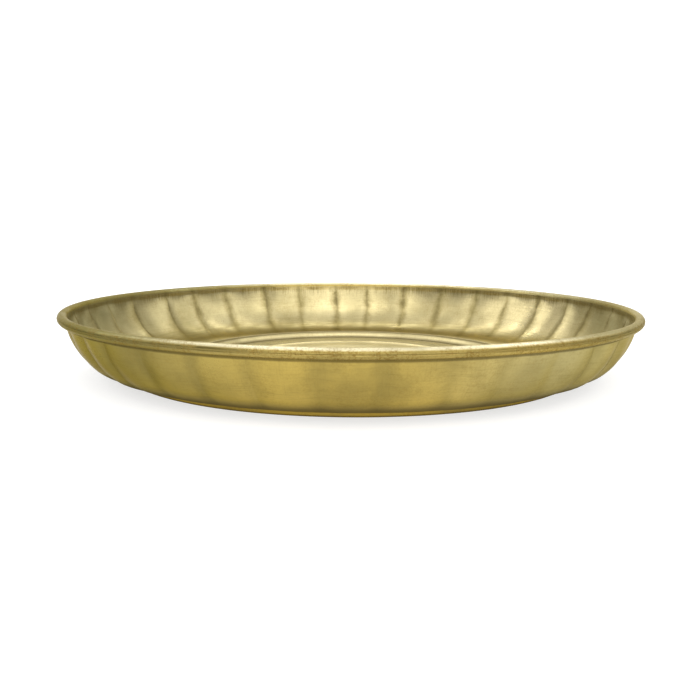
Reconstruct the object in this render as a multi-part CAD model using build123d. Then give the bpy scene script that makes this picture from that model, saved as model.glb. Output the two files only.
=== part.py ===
from build123d import *
import math
import os

# A round brass tray: a spun sheet dish with a fluted wall and an edge rolled round a wire,
# standing on a low hoop. Z is up, the axis of the tray is Z, and it stands on the plane z = 0.

# driving dimensions, mm
rim_diameter = 305.0
height = 34.5
sheet = 1.0
wire_diameter = 3.0
curl_gap = 0.25           # between the end of the rolled sheet and the wall
foot_diameter = 238.0
foot_height = 3.0
foot_width = 5.0
foot_rounding = 1.2

# raised ring pressed into the base: a steep step inside it, a gentle slope outside
middle_lift = 0.6         # the middle of the base above the top of the foot
crest_lift = 3.6          # the crest of the ring above the top of the foot
step_start = 85.0         # radii where the step and the slope start and end
step_end = 88.0
slope_start = 91.0
slope_end = 109.0

# the wall's outline is a quarter of a superellipse from the foot to under the rolled edge
power_along_r = 2.38
power_along_z = 1.5
wall_stations = 9

# flutes run from the foot of the wall to just under the rolled edge, and fade out at both ends
flute_count = 36
flute_depth = 1.2
flute_fade = 6            # the higher, the shorter the fading ends
flutes_low = 5.2
flutes_high = 29.4
flute_sections = 9

# worked out from the dimensions above
foot_radius = foot_diameter / 2
wire_radius = wire_diameter / 2
bead_radius = wire_radius + sheet
bead_center = Vector(rim_diameter / 2 - bead_radius, height - bead_radius)
wall_outside = bead_center.X - wire_radius
wall_inside = bead_center.X - bead_radius
wall_top = bead_center.Y - bead_radius * 0.8
wall_run = wall_outside - foot_radius
wall_rise = wall_top - foot_height


def spread(start, end, count):
    """Evenly spaced values from start to end."""
    return [start + (end - start) * i / (count - 1) for i in range(count)]


def wall_height(radius):
    """Height of the wall's outside at a radius."""
    share = (radius - foot_radius) / wall_run
    return foot_height + wall_rise * (1 - (1 - share**power_along_r) ** (1 / power_along_z))


def wall_radius(z):
    """Radius of the wall's outside at a height."""
    share = min((z - foot_height) / wall_rise, 1.0)
    return foot_radius + wall_run * (1 - (1 - share) ** power_along_z) ** (1 / power_along_r)


def wall_width(z):
    """Thickness of the sloping wall, measured level."""
    step = 0.01
    slope = (wall_radius(z + step) - wall_radius(z - step)) / (2 * step)
    return sheet * math.hypot(1, slope)


def upper_side(point):
    """The point of the wall's inside that faces a point of its outside."""
    step = 0.01
    rise = (wall_height(point[0] + step) - wall_height(point[0])) / step
    square = Vector(-rise, 1).normalized() * sheet
    return (point[0] + square.X, point[1] + square.Y)


def base_face(lift, step_shift):
    """One face of the base, from the axis out to the flat over the foot, lift above its underside."""
    middle = foot_height + middle_lift + lift
    crest = foot_height + crest_lift + lift
    flat = foot_height + lift
    level = [(1, 0), (1, 0)]
    step_foot = (step_start - step_shift, middle)
    step_head = (step_end - step_shift, crest)
    return [
        Line((0, middle), step_foot),
        Spline(step_foot, step_head, tangents=level),
        Line(step_head, (slope_start, crest)),
        Spline((slope_start, crest), (slope_end, flat), tangents=level),
        Line((slope_end, flat), (foot_radius, flat)),
    ]


def base_outline():
    """Half section of the base with its raised ring and the plain foot of the wall."""
    outer_edge = (wall_radius(flutes_low), flutes_low)
    inner_edge = (outer_edge[0] - wall_width(flutes_low), flutes_low)
    radii = spread(foot_radius, outer_edge[0], wall_stations)
    outside = [(radius, wall_height(radius)) for radius in radii]
    over_foot = (foot_radius, foot_height + sheet)
    inside = [over_foot] + [upper_side(point) for point in outside[1:-2]] + [inner_edge]
    lower = base_face(lift=0, step_shift=0)
    upper = base_face(lift=sheet, step_shift=sheet / 2)
    return [
        *lower,
        Spline(*outside),
        Line(outer_edge, inner_edge),
        Spline(*inside),
        *upper,
        Line(lower[0] @ 0, upper[0] @ 0),
    ]


def rolled_edge_outline():
    """Half section of the top of the wall and the sheet rolled round the wire."""
    outer_low = (wall_radius(flutes_high), flutes_high)
    inner_low = (outer_low[0] - wall_width(flutes_high), flutes_high)
    tip_run = bead_center.X - wall_outside - curl_gap
    curl_sweep = math.degrees(math.acos(tip_run / bead_radius)) - 360
    curl_outside = CenterArc(bead_center, bead_radius, 180, curl_sweep)
    curl_inside = CenterArc(bead_center, wire_radius, 180, curl_sweep)
    return [
        Line(outer_low, (wall_outside, wall_top)),
        Line((wall_outside, wall_top), curl_inside @ 0),
        curl_inside,
        Line(curl_inside @ 1, curl_outside @ 1),
        curl_outside,
        Line(curl_outside @ 0, (wall_inside, wall_top)),
        Line((wall_inside, wall_top), inner_low),
        Line(inner_low, outer_low),
    ]


def turn(outline):
    """Solid of revolution about Z of a half section drawn as (radius, height)."""
    return revolve(Plane.XZ * make_face(outline), Axis.Z)


def flute_ring(z, radius, depth):
    """Closed outline at one height: an arc for each flute, bulging out between its creases."""
    half_pitch = 180 / flute_count
    crease = Vector(radius - depth, 0)
    arcs = []
    for flute in range(flute_count):
        middle = 2 * half_pitch * flute
        start = crease.rotate(Axis.Z, middle - half_pitch)
        crown = Vector(radius, 0).rotate(Axis.Z, middle)
        end = crease.rotate(Axis.Z, middle + half_pitch)
        arcs.append(ThreePointArc(start, crown, end))
    return Pos(0, 0, z) * make_face(arcs)


def fluted_block(inside):
    """Solid bounded by the inside or by the outside of the fluted wall."""
    rings = []
    for z in spread(flutes_low, flutes_high, flute_sections):
        share = (z - flutes_low) / (flutes_high - flutes_low)
        depth = flute_depth * (1 - (2 * share - 1) ** flute_fade)
        radius = wall_radius(z) - (wall_width(z) if inside else 0)
        rings.append(flute_ring(z, radius, depth))
    return loft(rings)


def tray_dish():
    """The one brass sheet: base, fluted wall and rolled edge."""
    fluted_wall = fluted_block(inside=False) - fluted_block(inside=True)
    return turn(base_outline()) + fluted_wall + turn(rolled_edge_outline())


def rim_wire():
    """The wire inside the rolled edge."""
    return revolve(Plane.XZ * Pos(bead_center) * Circle(wire_radius), Axis.Z)


def foot_ring():
    """The low hoop under the base, rounded where it shows."""
    section = Pos(foot_radius - foot_width / 2, foot_height / 2) * Rectangle(foot_width, foot_height)
    outer_corners = section.vertices().sort_by(Axis.X)[-2:]
    return revolve(Plane.XZ * fillet(outer_corners, foot_rounding), Axis.Z)


pieces = {
    "tray_dish": tray_dish(),
    "rim_wire": rim_wire(),
    "foot_ring": foot_ring(),
}

os.makedirs("parts", exist_ok=True)
for name, shape in pieces.items():
    shape.label = name
    export_step(shape, f"parts/{name}.step")
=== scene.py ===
import math
import random

import bpy
import numpy as np
from mathutils import Matrix, Vector


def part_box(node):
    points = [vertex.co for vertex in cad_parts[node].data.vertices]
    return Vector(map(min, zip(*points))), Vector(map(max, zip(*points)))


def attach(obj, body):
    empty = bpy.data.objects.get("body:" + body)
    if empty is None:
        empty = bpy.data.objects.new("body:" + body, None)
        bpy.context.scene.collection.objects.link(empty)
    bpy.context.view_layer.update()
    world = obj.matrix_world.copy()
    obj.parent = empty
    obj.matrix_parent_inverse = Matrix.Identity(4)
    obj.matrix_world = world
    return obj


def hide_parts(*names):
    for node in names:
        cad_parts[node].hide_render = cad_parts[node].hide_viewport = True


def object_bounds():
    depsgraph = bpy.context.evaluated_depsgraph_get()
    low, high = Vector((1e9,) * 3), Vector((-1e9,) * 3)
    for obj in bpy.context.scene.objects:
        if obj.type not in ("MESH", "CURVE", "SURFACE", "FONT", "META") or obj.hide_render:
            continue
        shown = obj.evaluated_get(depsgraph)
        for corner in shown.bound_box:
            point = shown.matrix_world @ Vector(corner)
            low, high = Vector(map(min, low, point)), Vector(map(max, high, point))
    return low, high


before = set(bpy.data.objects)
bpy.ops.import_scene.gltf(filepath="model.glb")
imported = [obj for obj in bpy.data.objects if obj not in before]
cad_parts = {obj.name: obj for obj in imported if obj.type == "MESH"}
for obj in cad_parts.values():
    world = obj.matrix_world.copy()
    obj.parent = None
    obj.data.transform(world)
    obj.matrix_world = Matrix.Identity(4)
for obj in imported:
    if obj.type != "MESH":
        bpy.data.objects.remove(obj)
cad_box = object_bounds()

# A round brass tray on a pale floor, looked at from just above its rim. Everything is in metres.

# sizes read from the frame; the meshes stay a hair inside the CAD box
hair = 0.00004
rim_radius = cad_box[1].x - hair
height = cad_box[1].z - hair
wire_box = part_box("rim_wire")
foot_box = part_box("foot_ring")
dish_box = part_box("tray_dish")
wire_radius = (wire_box[1].z - wire_box[0].z) / 2
wire_height = (wire_box[1].z + wire_box[0].z) / 2
wire_center = wire_box[1].x - wire_radius
sheet = height - wire_box[1].z
bead_radius = wire_radius + sheet
foot_radius = foot_box[1].x
foot_height = dish_box[0].z

# the base, from its middle over the step and the raised ring to the foot
middle_ring = 0.004
middle_height = foot_height + 0.0006
crest_height = foot_height + 0.0036
step_start = 0.558 * rim_radius
step_end = 0.577 * rim_radius
slope_start = 0.597 * rim_radius
slope_end = 0.715 * rim_radius

# the wall, a superellipse from the foot to under the rolled edge
power_along_r = 2.38
power_along_z = 1.5
wall_outside = wire_center - wire_radius
wall_inside = wall_outside - sheet
wall_top = wire_height - bead_radius * 0.8
wall_run = wall_outside - foot_radius
wall_rise = wall_top - foot_height
wall_stations = 28

# rows of the base: how many along each stretch, and the gaps left beside its corners
flat_rows = 9
step_rows = 9
slope_rows = 12
corner_gap = 0.001
foot_gap = 0.003

# the rolled edge, with a groove along its outer side where the sheet was closed down, and a lobe
# set back below it; the step back is complete lobe_end radians below level
curl_turn = math.radians(300)
inner_curl_rows = 9
outer_curl_rows = 22
groove_turn = math.radians(-5)
groove_half = math.radians(9)
groove_depth = 0.00026
lobe_end = 0.6
lobe_step = 0.00012

# turned lines on the upper face of the base: radius, half width, height (below zero for a groove)
turned_lines = [
    (0.610 * rim_radius, 0.0006, -0.00040),
    (0.548 * rim_radius, 0.0008, -0.00035),
    (0.495 * rim_radius, 0.0040, 0.00030),
    (0.427 * rim_radius, 0.0012, 0.00065),
    (0.405 * rim_radius, 0.0008, -0.00020),
    (0.290 * rim_radius, 0.0006, -0.00015),
    (0.050 * rim_radius, 0.0008, -0.00020),
]

# the flutes: jitter and waver are shares of a flute's width, and tilt is a share of its depth;
# the slow and the quick waver are in radians per metre of height
flute_count = 36
flute_steps = 14
flute_depth = 0.0014
flute_depth_range = (0.75, 1.15)
flute_jitter = 0.10
flute_waver = 0.014
slow_waver = 260
quick_waver = 610
flute_tilt = 0.22
flutes_start = 0.024
flutes_end = 0.0065
upper_loss = 0.4
crease_softness = 0.20
crease_reach = (0.735 * rim_radius, 0.80 * rim_radius)
crease_fade = 0.006

# slow waves in the whole sheet: how many go round, how much they slant and how fast they weaken
wave_counts = (2, 3, 5, 8, 13, 21)
wave_slant = 60
wave_weakening = 0.6
wave_height = 0.00009
wave_start = 0.015

# the hoop under the base
foot_width = 0.005
foot_rounding = 0.0006
foot_ease = 0.0003
foot_wear = 0.00005
foot_bend_rows = 7
foot_steps = 288


def smooth(value, start, end):
    """Smooth 0 to 1 as value goes from start to end."""
    share = np.clip((value - start) / (end - start), 0.0, 1.0)
    return share * share * (3 - 2 * share)


def base_height(radius):
    """Height of the sheet's underside inside the foot."""
    ring = middle_height + (crest_height - middle_height) * smooth(radius, step_start, step_end)
    return foot_height + (ring - foot_height) * (1 - smooth(radius, slope_start, slope_end))


def wall_point(share):
    """Outside of the wall, from the foot at 0 to under the rolled edge at 1."""
    rise = math.sin(math.pi / 2 * share) ** 2
    run = (1 - (1 - rise) ** power_along_z) ** (1 / power_along_r)
    return foot_radius + wall_run * run, foot_height + wall_rise * rise


def sheet_line(extra_radii=()):
    """The sheet's underside from the middle of the base to the start of the rolled edge."""
    radii = [*np.linspace(middle_ring, step_start - corner_gap, flat_rows)]
    radii += [*np.linspace(step_start, step_end, step_rows)]
    radii += [*np.linspace(step_end + corner_gap, slope_end, slope_rows), foot_radius - foot_gap]
    radii += [*extra_radii]
    line = [(radius, float(base_height(radius))) for radius in sorted(radii)]
    line += [wall_point(i / wall_stations) for i in range(wall_stations + 1)]
    line += [(wall_outside, wall_top + (wire_height - wall_top) * share) for share in (0.5, 1)]
    return np.array(line)


def side_step(line, distance):
    """The line moved square to itself, towards the inside of the dish."""
    along = np.gradient(line, axis=0)
    along /= np.linalg.norm(along, axis=1)[:, None]
    return line + distance * np.stack([-along[:, 1], along[:, 0]], axis=1)


def upper_line():
    """The upper face of the sheet, with its turned lines."""
    across = (-1, -0.5, 0, 0.5, 1)
    radii = [middle + half * share for middle, half, _ in turned_lines for share in across]
    line = side_step(sheet_line(radii), sheet)
    for middle, half, lift in turned_lines:
        line[:, 1] += lift * np.clip(1 - ((line[:, 0] - middle) / half) ** 2, 0, 1)
    line[-1] = (wall_inside, wire_height)
    return line


def rolled(turns, reaches):
    """Points round the wire's centre."""
    return [
        (wire_center + reach * math.cos(turn), wire_height + reach * math.sin(turn))
        for turn, reach in zip(turns, reaches)
    ]


def bead_reach(turn):
    """Distance of the rolled edge's skin from the wire's centre, less in the groove and below it."""
    groove = max(0.0, 1 - ((turn - groove_turn) / groove_half) ** 2)
    return bead_radius - groove_depth * groove - lobe_step * float(smooth(-turn, -groove_turn, lobe_end))


def dish_outline():
    """Closed outline of the sheet: out along the underside, round the wire, back along the inside."""
    under = sheet_line()
    upper = upper_line()
    inner_turns = np.linspace(math.pi, math.pi - curl_turn, inner_curl_rows)
    outer_turns = [*np.linspace(math.pi, math.pi - curl_turn, outer_curl_rows)]
    outer_turns += [groove_turn + groove_half * share for share in (-1, -0.6, -0.3, 0, 0.3, 0.6, 1)]
    outer_turns.sort()
    inner_curl = rolled(inner_turns, [wire_radius] * len(inner_turns))
    outer_curl = rolled(outer_turns, [bead_reach(turn) for turn in outer_turns])
    outline = np.vstack([under, inner_curl[1:], outer_curl, upper[::-1][1:]])
    on_top = np.zeros(len(outline))
    on_top[-len(upper):] = 1
    return outline, on_top


class Flutes:
    """Where the creases run, and how deep and how tilted each flute is: uneven, as handwork is."""

    def __init__(self):
        chance = random.Random(11)
        each = range(flute_count)
        pitch = 2 * math.pi / flute_count
        jitters = np.array([chance.uniform(-flute_jitter, flute_jitter) for _ in each])
        self.starts = pitch * (np.arange(flute_count) - 0.5 + jitters)
        self.depths = np.array([flute_depth * chance.uniform(*flute_depth_range) for _ in each])
        self.tones = np.array([chance.uniform(-1, 1) for _ in each])
        self.reaches = np.array([chance.uniform(*crease_reach) for _ in each])
        self.shifts = np.array([chance.uniform(0, 2 * math.pi) for _ in each])
        self.across = (1 - np.cos(math.pi * np.arange(flute_steps) / flute_steps)) / 2
        self.pitch = pitch

    def angles(self, level):
        """Angle of every step of the grid, for each height: the creases waver as they climb."""
        waver = np.sin(level[:, None] * slow_waver + self.shifts[None, :])
        waver += 0.5 * np.sin(level[:, None] * quick_waver + 2 * self.shifts[None, :])
        starts = self.starts[None, :] + flute_waver * self.pitch * waver
        ends = np.roll(starts, -1, axis=1)
        ends[:, -1] += 2 * math.pi
        steps = starts[:, :, None] + (ends - starts)[:, :, None] * self.across[None, None, :]
        return steps.reshape(len(level), -1)

    def pull(self):
        """How far each step is pulled in from the flute's crown."""
        lobe = np.sqrt(np.sin(math.pi * self.across) ** 2 + crease_softness**2)
        lobe = (lobe - crease_softness) / (math.sqrt(1 + crease_softness**2) - crease_softness)
        tilt = flute_tilt * (0.5 + self.tones[:, None]) * np.sin(2 * math.pi * self.across)[None, :]
        return (self.depths[:, None] * np.maximum(1 - lobe[None, :] + tilt, 0)).ravel()

    def crease(self):
        """1 on a crease, 0 halfway between two."""
        near = 1 - 2 * np.minimum(self.across, 1 - self.across)
        return np.tile(near, flute_count)

    def tone(self):
        """How bright or dull each flute is, most at its crown."""
        return (self.tones[:, None] * np.sin(math.pi * self.across)[None, :]).ravel()

    def crease_foot(self):
        """Radius, near the foot, where the mark of each crease dies out."""
        ahead = np.roll(self.reaches, -1)
        return (self.reaches[:, None] + (ahead - self.reaches)[:, None] * self.across[None, :]).ravel()


def flute_share(radius, level):
    """How much of the flutes each row of the grid has: none at the foot and the rolled edge."""
    on_wall = (radius > foot_radius) & (radius < wall_outside + hair)
    foot_path = foot_radius + foot_height
    share = smooth(radius + level, foot_path, foot_path + flutes_start)
    at_edge = smooth(level, wire_height - flutes_end, wire_height)
    share *= (1 - upper_loss * smooth(level, wall_top / 2, wire_height)) * (1 - at_edge)
    return np.where(on_wall, share, 0.0)


def unevenness(angles, path):
    """Slow, slight waves in the sheet round and up the dish."""
    chance = random.Random(3)
    waves = np.zeros(angles.shape)
    for count in wave_counts:
        shift = chance.uniform(0, 2 * math.pi)
        slant = chance.uniform(-wave_slant, wave_slant)
        waves += np.cos(count * angles + shift + slant * path[:, None]) / count**wave_weakening
    return waves


def dish_mesh():
    """The dish as a grid of outline points by steps round the axis, with the flutes pressed in."""
    outline, on_top = dish_outline()
    radius, level = outline[:, 0], outline[:, 1]
    flutes = Flutes()
    angles = flutes.angles(level)
    share = flute_share(radius, level)
    loose = smooth(radius, foot_radius, foot_radius + wave_start)
    loose *= np.where(radius < wall_outside, 1.0, 0.0)
    wave = wave_height * loose[:, None] * unevenness(angles, radius + level)
    ring = radius[:, None] - share[:, None] * flutes.pull()[None, :] - np.abs(wave)
    high = np.broadcast_to(level[:, None], angles.shape)
    points = np.stack([ring * np.cos(angles), ring * np.sin(angles), high], axis=2)
    mesh = grid_mesh("fluted_dish", points, (outline[0][1], outline[-1][1]))

    crease_foot = flutes.crease_foot()[None, :]
    marked = smooth(radius[:, None], crease_foot, crease_foot + crease_fade)
    marked = marked * np.where(radius < wall_outside + hair, 1.0, 0.0)[:, None]
    give(mesh, "crease", marked * flutes.crease()[None, :])
    give(mesh, "tone", share[:, None] * flutes.tone()[None, :])
    give(mesh, "on_top", np.broadcast_to(on_top[:, None], angles.shape))
    return mesh


def grid_mesh(name, points, middles=None):
    """A mesh from rings of points: its ends close on the axis at the two middles, else on each other."""
    rows, steps, _ = points.shape
    here = np.arange(steps)
    ahead = (here + 1) % steps
    corners = points.reshape(-1, 3)
    faces = []
    for row in range(rows - 1):
        low, high = row * steps, (row + 1) * steps
        faces += np.stack([here + low, ahead + low, ahead + high, here + high], axis=1).tolist()
    last = (rows - 1) * steps
    if middles is None:
        faces += np.stack([here + last, ahead + last, ahead, here], axis=1).tolist()
    else:
        corners = np.vstack([corners, *[(0, 0, middle) for middle in middles]])
        faces += [(rows * steps, int(b), int(a)) for a, b in zip(here, ahead)]
        faces += [(rows * steps + 1, int(last + a), int(last + b)) for a, b in zip(here, ahead)]
    mesh = bpy.data.meshes.new(name)
    mesh.from_pydata(corners.tolist(), [], faces)
    mesh.polygons.foreach_set("use_smooth", [True] * len(faces))
    return mesh


def give(mesh, name, values):
    """A number on every point of the mesh; the two middle points take that of the row next to them."""
    attribute = mesh.attributes.new(name, "FLOAT", "POINT")
    ends = [values[0][0], values[-1][0]]
    attribute.data.foreach_set("value", np.concatenate([values.ravel(), ends]).astype(np.float32))


def foot_mesh():
    """The hoop under the base: rounded where it shows and worn a little uneven."""
    inner, top = foot_radius - foot_width, foot_height
    bend = foot_radius - foot_rounding
    line = []
    for middle, first in ((foot_rounding, -math.pi / 2), (top - foot_rounding, 0)):
        for turn in np.linspace(first, first + math.pi / 2, foot_bend_rows):
            line.append((bend + foot_rounding * math.cos(turn), middle + foot_rounding * math.sin(turn)))
    line += [(inner + foot_ease, top), (inner, top - foot_ease)]
    line += [(inner, foot_ease), (inner + foot_ease, 0.0)]
    line = np.array(line)
    angles = np.linspace(0, 2 * math.pi, foot_steps, endpoint=False)
    wear = foot_wear * (1 + np.sin(9 * angles + 1) * np.sin(4 * angles))
    ring = line[:, 0][:, None] - wear[None, :] * (line[:, 0] > bend)[:, None]
    high = np.broadcast_to(line[:, 1][:, None], ring.shape)
    return grid_mesh("foot_hoop", np.stack([ring * np.cos(angles), ring * np.sin(angles), high], axis=2))


class Nodes:
    """Short names for the shader nodes that the materials are made from."""

    def __init__(self, name):
        self.material = bpy.data.materials.new(name)
        self.material.use_nodes = True
        self.tree = self.material.node_tree
        self.shader = self.tree.nodes["Principled BSDF"]
        # keeps the dark colour of dirt and painted shade, and the floor, matt at a glancing angle, and
        # does nothing to bare metal
        self.shader.inputs["Specular IOR Level"].default_value = 0.0

    def make(self, kind, inputs=(), **settings):
        node = self.tree.nodes.new(kind)
        for name, value in settings.items():
            setattr(node, name, value)
        for key, value in dict(inputs).items():
            if isinstance(value, bpy.types.NodeSocket):
                self.tree.links.new(value, node.inputs[key])
            elif isinstance(value, tuple):
                node.inputs[key].default_value = (*value, 1)
            else:
                node.inputs[key].default_value = value
        return node

    def math(self, operation, a, b=0.0):
        return self.make("ShaderNodeMath", {0: a, 1: b}, operation=operation).outputs[0]

    def times(self, first, *others):
        for other in others:
            first = self.math("MULTIPLY", first, other)
        return first

    def most(self, first, *others):
        for other in others:
            first = self.math("MAXIMUM", first, other)
        return first

    def number(self, name):
        return self.make("ShaderNodeAttribute", attribute_name=name).outputs["Fac"]

    def noise(self, vector, scale, detail, roughness):
        inputs = {"Vector": vector, "Scale": scale, "Detail": detail, "Roughness": roughness}
        return self.make("ShaderNodeTexNoise", inputs).outputs["Fac"]

    def ramp(self, value, low, high, to_low=0.0, to_high=1.0):
        """Smooth to_low to to_high as value goes from low to high."""
        inputs = {"Value": value, 1: low, 2: high, 3: to_low, 4: to_high}
        return self.make("ShaderNodeMapRange", inputs, interpolation_type="SMOOTHSTEP").outputs[0]

    def band(self, value, middle, half):
        """1 where value is near middle, 0 from half away."""
        off = self.math("ABSOLUTE", self.math("SUBTRACT", value, middle))
        return self.ramp(off, 0.4 * half, half, 1.0, 0.0)

    def mix(self, share, first, second):
        node = self.make("ShaderNodeMix", {0: share, 6: first, 7: second}, data_type="RGBA")
        return node.outputs[2]

    def bump(self, height, distance, strength, normal=None):
        inputs = {"Height": height, "Distance": distance, "Strength": strength}
        node = self.make("ShaderNodeBump", inputs)
        if normal is not None:
            self.tree.links.new(normal, node.inputs["Normal"])
        return node.outputs[0]

    def connect(self, output, name):
        self.tree.links.new(output, self.shader.inputs[name])


class Brass(Nodes):
    """Aged brass with the marks of turning, rubbing and tarnish, laid round the tray's axis."""

    olive = (0.165, 0.135, 0.045)
    # grey olive: painted shade on the left and far to each side
    olive_shade = (0.155, 0.145, 0.058)
    brown = (0.22, 0.135, 0.030)
    tan = (0.190, 0.150, 0.052)
    # dark colour for dirt, and for painted shade under the rolled edge, above the foot and on the hoop
    dark_dirt_and_shade = (0.065, 0.048, 0.016)
    hoop = (0.36, 0.240, 0.036)
    wire = (0.45, 0.34, 0.10)
    # tints of the reflection at a glancing angle
    dull_edge = (0.66, 0.58, 0.38)
    bright_edge = (0.98, 0.95, 0.78)

    def __init__(self, name):
        super().__init__(name)
        place = self.make("ShaderNodeTexCoord").outputs["Object"]
        self.x, y, self.z = self.make("ShaderNodeSeparateXYZ", {0: place}).outputs
        self.radius = self.math("SQRT", self.math("ADD", self.times(self.x, self.x), self.times(y, y)))
        # held back from zero, so that the division is safe on the axis
        over = self.math("DIVIDE", 1.0, self.most(self.radius, 0.001))
        self.cos, self.sin = self.times(self.x, over), self.times(y, over)
        self.path = self.math("ADD", self.radius, self.z)
        self.turned = self.noise(self.round_axis(7.0, 900.0), 1.0, 5.0, 0.7)
        self.rubbed = self.noise(self.round_axis(330.0, 60.0), 1.0, 4.0, 0.65)
        self.clouds = self.noise(place, 24.0, 6.0, 0.60)
        self.patches = self.noise(place, 75.0, 5.0, 0.7)
        self.grains = self.noise(place, 950.0, 3.0, 0.75)

    def round_axis(self, around, along):
        """Texture place that runs round the axis and out along the sheet at its own scale each way."""
        ways = ((self.cos, around), (self.sin, around), (self.path, along))
        sides = [self.times(way, scale) for way, scale in ways]
        return self.make("ShaderNodeCombineXYZ", dict(enumerate(sides))).outputs[0]

    def age(self, clean, speckle_share):
        """Dull clouds, turning marks and brown speckle over the clean colour."""
        color = self.mix(self.ramp(self.clouds, 0.40, 0.72, 0.0, 0.50), clean, self.olive)
        color = self.mix(self.ramp(self.turned, 0.48, 0.75, 0.0, 0.24), color, self.olive)
        color = self.mix(self.ramp(self.rubbed, 0.52, 0.78, 0.0, 0.22), color, self.olive)
        in_patches = self.ramp(self.patches, 0.38, 0.60, 0.25, 1.0)
        self.speckle = self.times(self.ramp(self.grains, 0.45, 0.60), in_patches, speckle_share)
        return self.mix(self.speckle, color, self.brown)

    def finish(self, color, dirt_and_shade_share):
        """Connect the colour with dirt and painted shade on it, and roughness and relief from the same
        marks.
        """
        self.connect(self.mix(dirt_and_shade_share, color, self.dark_dirt_and_shade), "Base Color")
        self.connect(self.ramp(dirt_and_shade_share, 0.0, 0.8, 1.0, 0.0), "Metallic")
        rough = self.ramp(self.clouds, 0.3, 0.75, 0.27, 0.40)
        rough = self.math("ADD", rough, self.ramp(self.turned, 0.3, 0.75, -0.03, 0.07))
        rough = self.math("ADD", rough, self.times(self.speckle, 0.25))
        self.connect(self.math("ADD", rough, self.times(dirt_and_shade_share, 0.30)), "Roughness")
        relief = self.bump(self.turned, 0.00003, 0.45)
        relief = self.bump(self.rubbed, 0.00003, 0.30, relief)
        relief = self.bump(self.patches, 0.0002, 0.22, relief)
        relief = self.bump(self.times(self.speckle, -1.0), 0.00010, 0.9, relief)
        self.connect(relief, "Normal")
        return self.material


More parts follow.
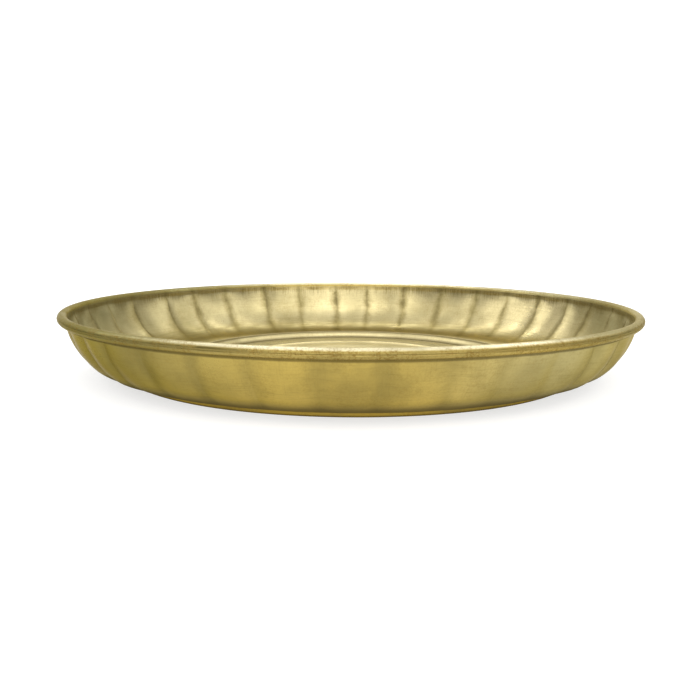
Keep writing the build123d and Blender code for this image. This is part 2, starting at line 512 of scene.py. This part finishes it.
class DishBrass(Brass):
    """The dish: pale inside, golden outside and on the rolled edge, dark where polish never reaches,
    with painted shade under the rolled edge, above the foot and to the sides, and painted highlights and
    reflections on the outside and the rolled edge.
    """

    inside = (0.55, 0.470, 0.250)
    outside = (0.51, 0.373, 0.090)
    # painted reflection of a bright floor: the outside lighter low down
    floor_reflection_low = (0.58, 0.425, 0.108)
    # painted reflection: the outside paler and greener to the right
    reflection_to_right = (0.45, 0.388, 0.175)
    # the lip: rubbed bright by wear, with a painted highlight in front and painted shade on it to each
    # side
    lip_wear_and_highlight = (0.88, 0.81, 0.57)
    lip_shaded_aside = (0.44, 0.41, 0.26)
    # painted highlight: the rolled edge lighter on its lower lobe
    lower_lobe_highlight = (0.50, 0.380, 0.120)
    bead_high = (0.34, 0.255, 0.075)
    # painted shade: the rolled edge darker and greener far to each side
    bead_shaded_aside = (0.32, 0.285, 0.145)
    # heights between which the outside goes from its low colour, a painted reflection of a bright floor,
    # to its own
    outside_change = (0.010, 0.018)
    # half of the blend from the wall to the rolled edge
    bead_blend = 0.0006
    # rings round the axis: radius and half width
    wall_foot_ring = (0.828 * rim_radius, 0.085 * rim_radius)
    well_ring = (0.485 * rim_radius, 0.065 * rim_radius)
    outer_dark_ring = (0.587 * rim_radius, 0.0034)
    inner_dark_ring = (0.550 * rim_radius, 0.0024)

    def __init__(self):
        """Where each part of the dish is: shares that are 1 on it and 0 off it."""
        super().__init__("dish_brass")
        self.on_top = self.number("on_top")
        self.outer = self.math("SUBTRACT", 1.0, self.on_top)
        self.aside = self.math("ABSOLUTE", self.x)
        high = self.ramp(self.z, wire_height - bead_radius * 1.05, wire_height - bead_radius * 0.9)
        far = self.ramp(self.radius, wall_inside - self.bead_blend, wall_inside + self.bead_blend)
        self.on_bead = self.times(high, far)
        self.lip = self.ramp(self.z, wire_height + 0.40 * bead_radius, wire_height + 0.85 * bead_radius)
        self.wall_foot = self.times(self.band(self.radius, *self.wall_foot_ring), self.on_top)
        self.well = self.times(self.band(self.radius, *self.well_ring), self.on_top)
        wander = self.ramp(self.patches, 0.3, 0.7, -0.10, 0.10)
        self.near_crease = self.math("ADD", self.number("crease"), wander)

    def outside_color(self):
        """Lighter low down, a painted reflection of a bright floor, and paler to the right, a painted
        reflection.
        """
        color = self.mix(self.ramp(self.z, *self.outside_change), self.floor_reflection_low, self.outside)
        # painted reflection: the outside paler and greener to the right
        right_reflection_share = self.ramp(self.x, 0.05 * rim_radius, 0.65 * rim_radius)
        return self.mix(right_reflection_share, color, self.reflection_to_right)

    def bead_color(self):
        """The rolled edge, rubbed bright along its lip by wear, with a painted highlight on the lip in
        front and on the lower lobe, and painted shade to each side.
        """
        # painted shade: the lip dulls to each side
        lip_shade_share = self.ramp(self.aside, 0.3 * rim_radius, 0.75 * rim_radius)
        lip_color = self.mix(lip_shade_share, self.lip_wear_and_highlight, self.lip_shaded_aside)
        # painted highlight: the rolled edge lighter on its lower lobe
        up = self.ramp(self.z, wire_height - 0.6 * bead_radius, wire_height - 0.1 * bead_radius)
        color = self.mix(up, self.lower_lobe_highlight, self.bead_high)
        # painted shade: the rolled edge darker and greener far to each side
        aside_shade_share = self.ramp(self.aside, 0.5 * rim_radius, 0.9 * rim_radius)
        color = self.mix(aside_shade_share, color, self.bead_shaded_aside)
        return self.mix(self.lip, color, lip_color)

    def shade_and_dull(self, color):
        """Painted shade in grey olive on the left and far to each side; olive in the odd flute, at the
        wall's foot and in the well.
        """
        # painted shade: grey olive on the left, more outside than inside
        left = self.ramp(self.x, -0.80 * rim_radius, 0.0, 0.80, 0.0)
        left = self.times(left, self.ramp(self.on_top, 0.0, 1.0, 1.0, 0.35))
        color = self.mix(left, color, self.olive_shade)
        # painted shade: grey olive far to each side, inside
        ends = self.ramp(self.aside, 0.84 * rim_radius, 0.96 * rim_radius, 0.0, 0.60)
        color = self.mix(self.times(ends, self.on_top), color, self.olive_shade)
        color = self.mix(self.ramp(self.number("tone"), 0.0, 0.9, 0.0, 0.35), color, self.olive)
        foot_streaks = self.times(self.wall_foot, self.ramp(self.turned, 0.35, 0.65, 0.28, 0.66))
        color = self.mix(foot_streaks, color, self.olive)
        well_streaks = self.times(self.well, self.ramp(self.turned, 0.35, 0.65, 0.25, 0.70))
        return self.mix(well_streaks, color, self.olive)

    def speckle_share(self):
        """Most brown speckle on the rolled edge, less of it on the lip."""
        on_edge = self.times(self.on_bead, self.ramp(self.lip, 0.0, 1.0, 1.0, 0.4))
        return self.math("ADD", self.times(on_edge, 0.50), 0.20)

    def tarnish_and_shade(self, color):
        """Soft darkening along the creases, partly tarnish and partly painted shade inside, painted
        shade outside and most on the left, and scuffs under the rim inside.
        """
        # painted shade along the creases: outside, strongest on the left; inside, mixed with tarnish
        left_shade_share = self.ramp(self.x, -0.75 * rim_radius, -0.1 * rim_radius, 0.60, 0.20)
        outer = self.times(self.ramp(self.near_crease, 0.50, 1.0), self.outer, left_shade_share)
        inner = self.times(self.ramp(self.near_crease, 0.60, 1.0), self.on_top, 0.72)
        shade = self.math("ADD", inner, outer)
        color = self.mix(shade, color, self.mix(self.on_top, self.olive, self.tan))
        under_rim = self.ramp(self.z, wire_height - 0.0080, wire_height - 0.001)
        streaks = self.ramp(self.rubbed, 0.44, 0.62, 0.0, 0.85)
        scuffs = self.times(under_rim, self.on_top, streaks, self.ramp(self.patches, 0.33, 0.58))
        return self.mix(scuffs, color, self.tan)

    def dirt_and_shade_share(self):
        """Dirt in the creases, dark rings on the crest and at the step's foot, painted shadow with some
        dirt under the rolled edge, and painted shade above the foot.
        """
        up_wall = self.ramp(self.z, foot_height, wire_height, 0.25, 1.0)
        broken = self.ramp(self.patches, 0.38, 0.60, 0.10, 0.50)
        crease = self.times(self.ramp(self.near_crease, 0.84, 1.08), broken, up_wall, self.on_top)
        # darker rings on the crest and at the step's foot
        outer_ring = self.band(self.radius, *self.outer_dark_ring)
        inner_ring = self.band(self.radius, *self.inner_dark_ring)
        rings = self.times(self.most(outer_ring, inner_ring), self.on_top, 0.75)
        # painted shadow under the rolled edge, with some dirt in it
        below_bead = self.band(self.z, wire_height - 1.1 * bead_radius, 0.0014)
        on_wall = self.ramp(self.radius, wall_outside + 0.0003, wall_outside, 0.0, 0.65)
        shadow_under_bead = self.times(below_bead, self.outer, on_wall)
        # painted shade on the wall just above the foot
        past_foot = self.ramp(self.radius, foot_radius - 0.006, foot_radius - 0.002)
        low = self.ramp(self.z, foot_height + 0.0024, foot_height + 0.0082, 0.85, 0.0)
        shade_above_foot = self.times(low, self.outer, past_foot)
        return self.most(crease, rings, shadow_under_bead, shade_above_foot)

    def edge_tint(self):
        """Tint of the glancing reflection: bright on the upper face, less so at the wall's foot."""
        bright = self.times(self.on_top, self.math("SUBTRACT", 1.0, self.times(self.wall_foot, 0.7)))
        return self.mix(bright, self.dull_edge, self.bright_edge)


def dish_brass():
    """Each colour in its place, with painted light and shade, dulled, aged and tarnished, with dirt and
    painted shade over it.
    """
    n = DishBrass()
    clean = n.mix(n.on_bead, n.mix(n.on_top, n.outside_color(), n.inside), n.bead_color())
    color = n.tarnish_and_shade(n.age(n.shade_and_dull(clean), n.speckle_share()))
    n.connect(n.edge_tint(), "Specular Tint")
    return n.finish(color, n.dirt_and_shade_share())


def plain_brass(name, clean):
    """The hoop and the wire, with painted shade along the hoop's upper edge, under the wall, and darker
    along its lower edge.
    """
    n = Brass(name)
    n.shader.inputs["Specular Tint"].default_value = (*Brass.dull_edge, 1)
    # painted shade along the hoop's upper edge, where the wall overhangs it
    upper = n.ramp(n.z, 0.55 * foot_height, 0.80 * foot_height, 0.0, 0.95)
    lower = n.ramp(n.z, 0.10 * foot_height, 0.35 * foot_height, 0.8, 0.0)
    on_hoop = n.ramp(n.z, foot_height, 2 * foot_height, 1.0, 0.0)
    return n.finish(n.age(clean, 0.4), n.times(n.most(upper, lower), on_hoop))


def light_table():
    """A pale, matt surface with a soft glow of its own, as a light table has."""
    n = Nodes("light_table")
    n.shader.inputs["Base Color"].default_value = (0.40, 0.40, 0.40, 1)
    n.shader.inputs["Roughness"].default_value = 0.9
    n.shader.inputs["Emission Color"].default_value = (1, 1, 1, 1)
    n.shader.inputs["Emission Strength"].default_value = 0.70
    return n.material


def add(name, mesh, material):
    piece = bpy.data.objects.new(name, mesh)
    bpy.context.scene.collection.objects.link(piece)
    mesh.materials.append(material)
    return piece


def make_camera():
    """The camera a little above the rim, tipped down, and held a shade off level (in radians)."""
    data = bpy.data.cameras.new("camera")
    data.sensor_width = 36
    data.lens = 44.77
    camera = bpy.data.objects.new("camera", data)
    bpy.context.scene.collection.objects.link(camera)
    tip, yaw, roll = 0.158, 0.0008, 0.0062
    away, up = 3.1 * rim_radius, 0.5571 * rim_radius
    turn = Matrix.Rotation(yaw, 4, "Z") @ Matrix.Rotation(math.pi / 2 - tip, 4, "X")
    turn = turn @ Matrix.Rotation(roll, 4, "Z")
    camera.matrix_world = Matrix.Translation((0, -away, up)) @ turn
    bpy.context.scene.camera = camera


def make_floor():
    """A pale sweep: flat under the tray, curving up into a backdrop well behind it."""
    half, front, back, bend, top = 2.5, -1.5, 1.6, 0.6, 2.6
    turns = np.linspace(0.1, math.pi / 2, 16)
    line = [(front, 0.0), (back, 0.0)]
    line += [(back + bend * math.sin(turn), bend * (1 - math.cos(turn))) for turn in turns]
    line.append((back + bend, top))
    points = [(side, y, z) for y, z in line for side in (-half, half)]
    faces = [(2 * i, 2 * i + 1, 2 * i + 3, 2 * i + 2) for i in range(len(line) - 1)]
    mesh = bpy.data.meshes.new("floor")
    mesh.from_pydata(points, [], faces)
    mesh.polygons.foreach_set("use_smooth", [True] * len(faces))
    add("floor", mesh, light_table())


def softbox(name, place, aim, size, glow):
    """A rectangular soft light of an even glow."""
    data = bpy.data.lights.new(name, "AREA")
    data.shape = "RECTANGLE"
    data.size, data.size_y = size
    data.energy = glow * math.pi * size[0] * size[1]
    light = bpy.data.objects.new(name, data)
    bpy.context.scene.collection.objects.link(light)
    light.location = place
    light.rotation_euler = (Vector(aim) - Vector(place)).to_track_quat("-Z", "Y").to_euler()


def make_light():
    """Soft lights before, above and beside the tray, one on the backdrop, and a dim grey world."""
    world = bpy.data.worlds.new("studio")
    bpy.context.scene.world = world
    world.use_nodes = True
    background = world.node_tree.nodes["Background"]
    background.inputs["Color"].default_value = (1, 1, 1, 1)
    background.inputs["Strength"].default_value = 0.24
    softbox("front_light", (0.10, -0.85, 0.95), (0, 0.05, 0), (1.9, 1.1), 2.05)
    softbox("top_light", (0.0, 0.15, 1.50), (0, 0.15, 0), (2.2, 2.3), 1.05)
    softbox("right_light", (1.05, 0.1, 0.75), (0, 0, 0), (1.2, 0.9), 1.7)
    softbox("left_light", (-1.05, 0.1, 0.75), (0, 0, 0), (1.2, 0.9), 1.9)
    softbox("low_light", (0.2, -1.50, 0.27), (0, 0, 0.02), (2.2, 0.45), 2.8)
    softbox("back_light", (0, 0.9, 1.6), (0, 2.2, 0.5), (2.5, 0.6), 8.0)


bpy.context.scene.view_settings.view_transform = "Standard"
make_camera()
make_floor()
make_light()

dish = add("fluted_dish", dish_mesh(), dish_brass())
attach(dish, "root")
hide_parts("tray_dish")

hoop = add("foot_hoop", foot_mesh(), plain_brass("foot_brass", Brass.hoop))
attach(hoop, "root")
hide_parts("foot_ring")

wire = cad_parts["rim_wire"]
wire.data.materials.clear()
wire.data.materials.append(plain_brass("wire_brass", Brass.wire))
